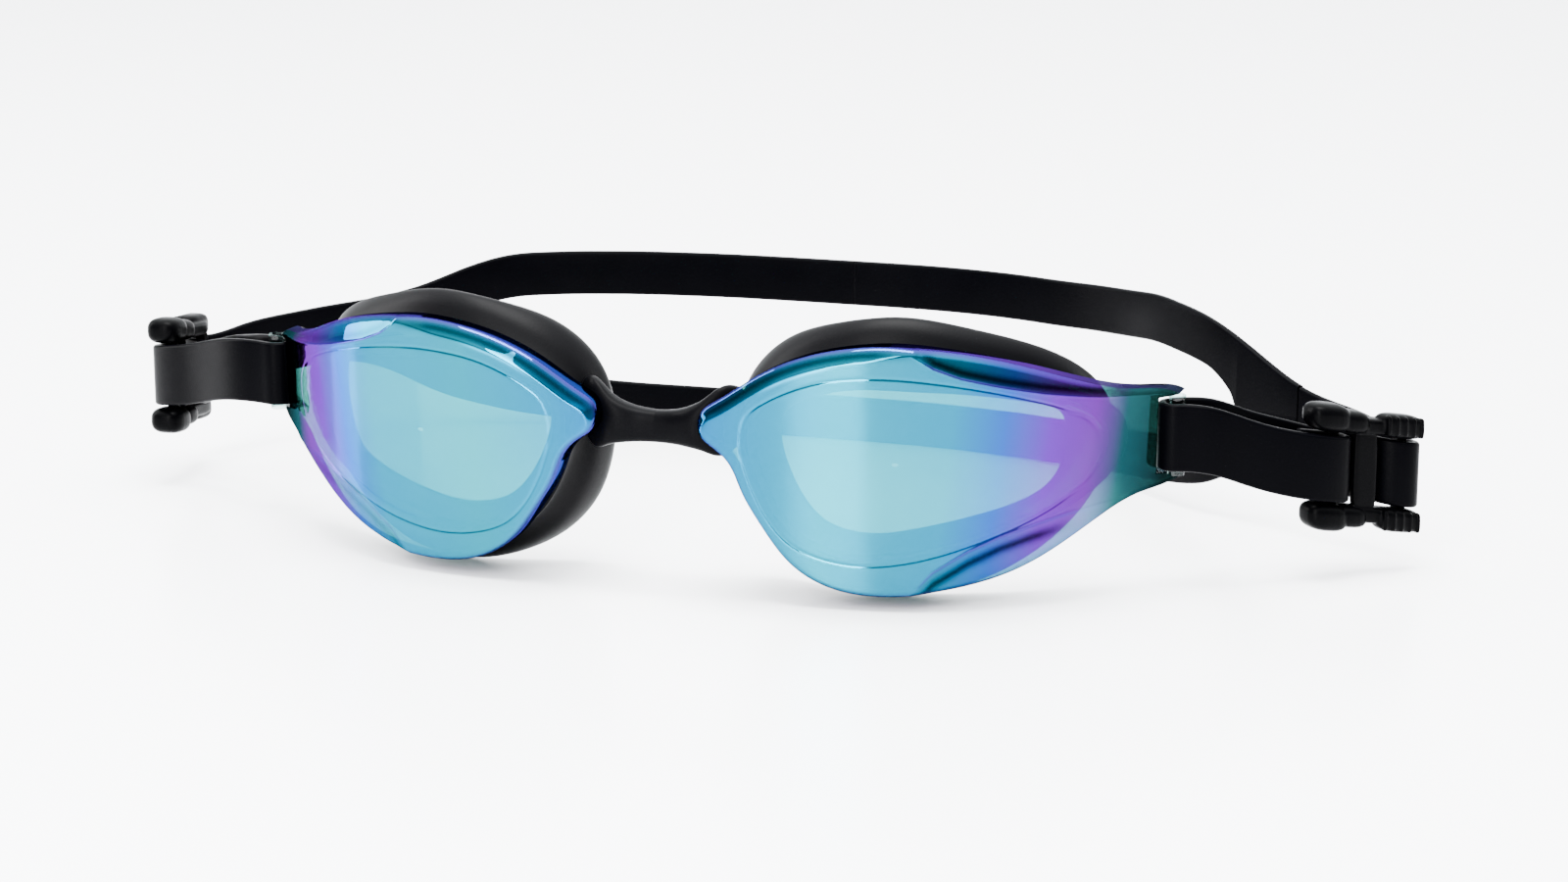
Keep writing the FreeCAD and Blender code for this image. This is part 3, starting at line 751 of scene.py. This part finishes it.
def lump(verts, faces, centre, size, power=0.8, rows=24, cols=32):
    """Superellipsoid added to the lists."""
    base = len(verts)
    for i in range(rows + 1):
        v = -math.pi / 2 + math.pi * i / rows
        for j in range(cols):
            u = 2 * math.pi * j / cols
            cv, sv = math.cos(v), math.sin(v)
            cu, su = math.cos(u), math.sin(u)
            verts.append((centre[0] + size[0] * powered(cv, power) * powered(cu, power),
                          centre[1] + size[1] * powered(cv, power) * powered(su, power),
                          centre[2] + size[2] * powered(sv, power)))
    for i in range(rows):
        for j in range(cols):
            a = base + i * cols + j
            b = base + i * cols + (j + 1) % cols
            faces.append((a, b, b + cols, a + cols))


def make_buckle(side):
    """Three-bar buckle: x runs to the rear bar, y inwards, z up, then sheared to the strap's slope."""
    verts, faces = [], []
    gap = SIDE_W / 2 + 2 * CLEAR
    lump(verts, faces, (0, 0, 0), (1.2, 1.1, gap + 0.8), 0.35)
    lump(verts, faces, (6.2, -1.4, 0), (2.5, 0.9, gap + 0.8), 0.35)
    lump(verts, faces, (BAR_SPACING, 0, 0), (1.1, 1.1, gap + 0.8), 0.35)
    for s in (1, -1):
        lump(verts, faces, (7.5, -0.4, s * (gap + 1.5)), (8.6, 2.3, 1.5), 0.5)
        lump(verts, faces, (-1.4, -0.3, s * (gap + 2.4)), (4.2, 3.4, 2.6), 0.7)
        lump(verts, faces, (3.4, -0.3, s * (gap + 2.0)), (3.6, 3.1, 2.1), 0.7)
        lump(verts, faces, (13.6, -1.4, s * (gap + 2.0)), (4.7, 2.3, 2.2), 0.6)
        for k in range(5):
            lump(verts, faces, (10.0 + 1.8 * k, -3.1, s * (gap + 2.1)), (0.45, 0.8, 1.9), 0.6, 10, 12)
    verts = np.array(verts)
    x, y, z = verts.T
    z = z + x * (side["z_rear"] - side["z_front"]) / BAR_SPACING
    a = math.radians(side["axis"])
    placed = np.stack([side["front"][0] + x * math.cos(a) - y * math.sin(a),
                       side["front"][1] + x * math.sin(a) + y * math.cos(a), side["z_front"] + z], 1)
    obj = make_object(side["name"] + "_buckle_moulding", placed, faces, NYLON, side["sign"])
    turn_outward(obj, True)
    remesh = obj.modifiers.new("fuse", "REMESH")
    remesh.mode = "VOXEL"
    remesh.voxel_size = 0.00018
    relax = obj.modifiers.new("relax", "SMOOTH")
    relax.iterations = 3
    graph = bpy.context.evaluated_depsgraph_get()
    fused = bpy.data.meshes.new_from_object(obj.evaluated_get(graph))
    obj.modifiers.clear()
    obj.data = fused
    fused.polygons.foreach_set("use_smooth", [True] * len(fused.polygons))
    return obj


def metres(x, y, z):
    """Drawing-frame millimetres to scene metres."""
    return tuple((np.array([x, y, z]) + SHIFT) * MM)


def build_side(side):
    name, sign = side["name"], side["sign"]
    lens = make_lens(side)
    turn_outward(lens)
    post = cut_slot(lens, side)
    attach(lens, name + "_pod")
    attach(post, name + "_pod")
    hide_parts(name + "_lens")
    cup = make_cup(side)
    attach(cup, name + "_pod")
    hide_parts(name + "_gasket")
    half = make_bridge_half(side)
    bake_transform(half)
    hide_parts("nose_bridge")
    make_straps(side)
    strap = bpy.data.objects[name + "_side_strap_skin"]
    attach(strap, name + "_strap")
    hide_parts(name + "_side_strap")
    for which in ("upper", "lower"):
        band = bpy.data.objects[name + "_" + which + "_band_skin"]
        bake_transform(band)
        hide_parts(name + "_" + which + "_band")
    buckle = make_buckle(side)
    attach(buckle, name + "_strap")
    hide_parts(name + "_buckle")


for side in (RIGHT, LEFT):
    build_side(side)


# ---- stage, light and camera -------------------------------------------------------------------------
def make_floor():
    """Table top that curves up at the back."""
    depth = np.linspace(-2.5, 3.0, 60)
    height = np.where(depth > 1.6, 0.5 * (depth - 1.6) ** 2, 0.0)
    verts = [(x, y, z) for y, z in zip(depth, height) for x in (-4.0, 4.0)]
    faces = grid_faces(len(depth), 2)
    mesh = bpy.data.meshes.new("floor")
    mesh.from_pydata(verts, [], faces)
    mesh.polygons.foreach_set("use_smooth", [True] * len(mesh.polygons))
    floor = bpy.data.objects.new("floor", mesh)
    bpy.context.scene.collection.objects.link(floor)
    material, nodes, links, out = new_material("pale table")
    shader = nodes.new("ShaderNodeBsdfPrincipled")
    shader.inputs["Base Color"].default_value = (0.86, 0.865, 0.88, 1)
    shader.inputs["Roughness"].default_value = 0.24
    shader.inputs["Specular IOR Level"].default_value = 0.5
    links.new(shader.outputs["BSDF"], out.inputs["Surface"])
    mesh.materials.append(material)


def area_light(name, place, target, size, power, color=(1, 1, 1)):
    light = bpy.data.lights.new(name, "AREA")
    light.shape = "RECTANGLE"
    light.size, light.size_y = size
    light.energy = power
    light.color = color
    obj = bpy.data.objects.new(name, light)
    obj.location = place
    obj.rotation_mode = "QUATERNION"
    obj.rotation_quaternion = (Vector(target) - Vector(place)).to_track_quat("-Z", "Y")
    bpy.context.scene.collection.objects.link(obj)
    return obj


def make_light():
    """Studio: bright ceiling and back wall, dim front, an overhead panel and two tall soft strips."""
    world = bpy.data.worlds.new("studio")
    bpy.context.scene.world = world
    world.use_nodes = True
    nodes, links = world.node_tree.nodes, world.node_tree.links
    background = nodes["Background"]
    background.inputs["Color"].default_value = (0.96, 0.98, 1.0, 1)
    where = nodes.new("ShaderNodeTexCoord")
    split = nodes.new("ShaderNodeSeparateXYZ")
    links.new(where.outputs["Generated"], split.inputs["Vector"])
    parts = []
    for axis, low, high, strength in (("Y", -0.1, 0.9, 4.0), ("Z", 0.45, 0.95, 6.5)):
        node = nodes.new("ShaderNodeMapRange")
        node.interpolation_type = "SMOOTHSTEP"
        node.inputs["From Min"].default_value = low
        node.inputs["From Max"].default_value = high
        node.inputs["To Max"].default_value = strength
        links.new(split.outputs[axis], node.inputs["Value"])
        parts.append(node.outputs["Result"])
    total = nodes.new("ShaderNodeMath")
    links.new(parts[0], total.inputs[0])
    links.new(parts[1], total.inputs[1])
    base = nodes.new("ShaderNodeMath")
    base.inputs[1].default_value = 1.6
    links.new(total.outputs["Value"], base.inputs[0])
    links.new(base.outputs["Value"], background.inputs["Strength"])
    area_light("overhead", (0.0, -0.10, 1.2), (0, 0, 0), (0.7, 0.6), 75)
    area_light("strip front", (-0.09, -1.0, 0.45), (0.0, 0, 0.03), (0.24, 0.9), 30)
    area_light("strip left", (-1.05, -0.02, 0.45), (-0.06, 0, 0.03), (0.30, 0.9), 26)


CAMERA_TURN = math.radians(18.0)
CAMERA_RISE = math.radians(13.2)
CAMERA_DISTANCE = 0.5831
SENSOR_WIDTH = 36.0
FOCAL_LENGTH = 78.4125


def make_camera():
    """Camera in front, turned towards +X and raised, looking at a point on the right-hand pod."""
    turn, rise = CAMERA_TURN, CAMERA_RISE
    forward = Vector((-math.sin(turn) * math.cos(rise), math.cos(turn) * math.cos(rise), -math.sin(rise)))
    target = Vector(metres(25.585, 0.0, 29.869))
    data = bpy.data.cameras.new("camera")
    data.sensor_width = SENSOR_WIDTH
    data.lens = FOCAL_LENGTH
    data.clip_start, data.clip_end = 0.01, 20
    camera = bpy.data.objects.new("camera", data)
    camera.location = target - forward * CAMERA_DISTANCE
    camera.rotation_mode = "QUATERNION"
    camera.rotation_quaternion = forward.to_track_quat("-Z", "Y")
    bpy.context.scene.collection.objects.link(camera)
    bpy.context.scene.camera = camera


make_floor()
make_light()
make_camera()
